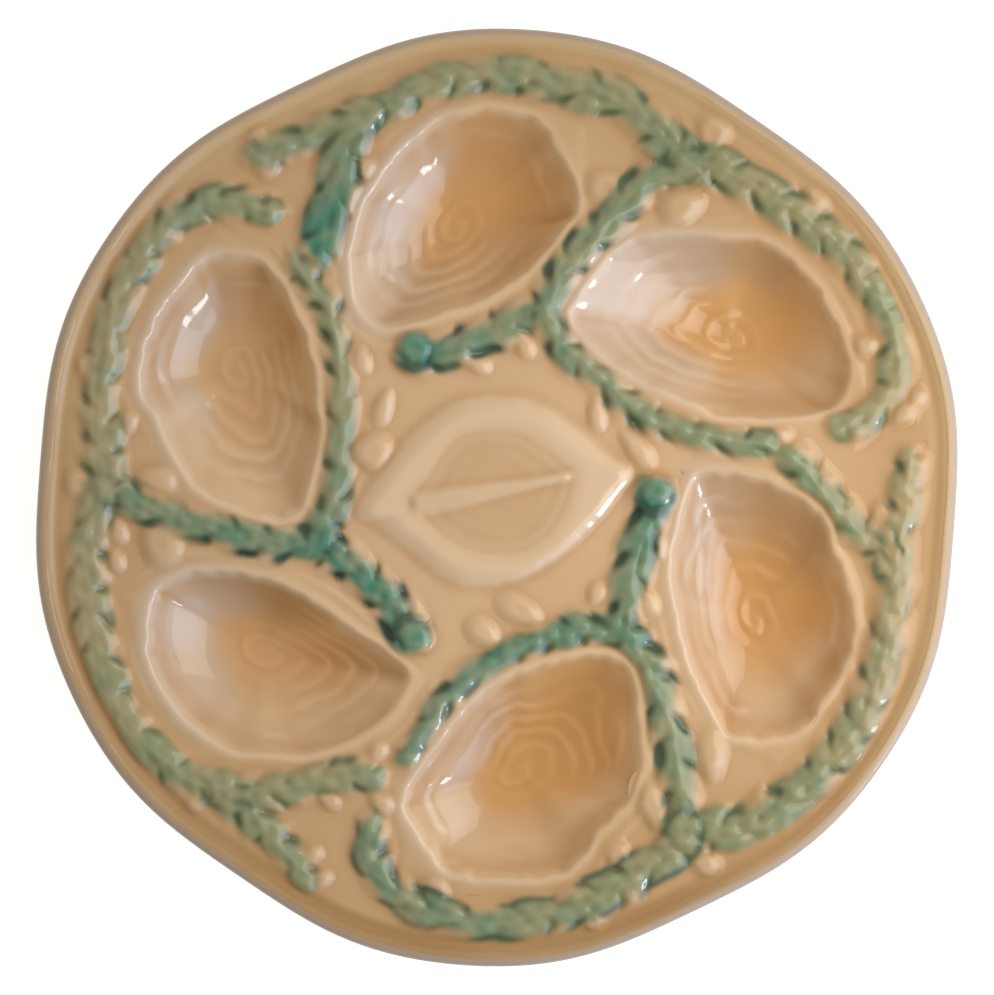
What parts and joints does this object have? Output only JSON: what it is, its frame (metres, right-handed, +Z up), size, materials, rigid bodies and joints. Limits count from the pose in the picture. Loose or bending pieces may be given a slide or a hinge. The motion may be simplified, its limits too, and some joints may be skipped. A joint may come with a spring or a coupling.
{
  "type": "oyster plate",
  "caption": "Scalloped ceramic oyster plate with shell-shaped wells, a lemon relief in the middle and seaweed sprigs between them.",
  "frame": {"origin": "centre of the foot ring's resting face, on the table", "axes": "+Z up out of the plate, +Y through a lobe of the scalloped edge (the widest way across), +X through a dip"},
  "size_m": [0.2392, 0.2448, 0.023],
  "materials": {
    "honey_glaze": "glossy transparent honey glaze over cream clay",
    "rim_glaze": "glossy ochre glaze, pinkish and thin on the lip",
    "well_glaze": "glossy amber glaze, pooled darker on the steep walls",
    "lemon_glaze": "glossy honey glaze, pooled around the raised border",
    "stem_glaze": "glossy deep teal glaze",
    "frond_glaze": "glossy teal to sage glaze, paler on the high points",
    "bladder_glaze": "glossy honey glaze with a green tinge",
    "bare_clay": "matt, wiped clean of glaze"
  },
  "bodies": {
    "root": {"plate_bed": "honey_glaze", "scalloped_rim": "rim_glaze", "foot_ring": "bare_clay", "lemon_dish": "lemon_glaze", "oyster_well_1": "well_glaze", "oyster_well_2": "well_glaze", "oyster_well_3": "well_glaze", "oyster_well_4": "well_glaze", "oyster_well_5": "well_glaze", "oyster_well_6": "well_glaze", "stem_1": "stem_glaze", "stem_2": "stem_glaze", "stem_3": "stem_glaze", "outer_frond_1": "frond_glaze", "outer_frond_2": "frond_glaze", "outer_frond_3": "frond_glaze", "fork_frond_1": "frond_glaze", "fork_frond_2": "frond_glaze", "fork_frond_3": "frond_glaze", "rim_frond_1": "frond_glaze", "rim_frond_2": "frond_glaze", "rim_frond_3": "frond_glaze", "side_frond_1": "frond_glaze", "side_frond_2": "frond_glaze", "side_frond_3": "frond_glaze", "bladders_1": "bladder_glaze", "bladders_2": "bladder_glaze", "bladders_3": "bladder_glaze"}
  },
  "joints": []
}
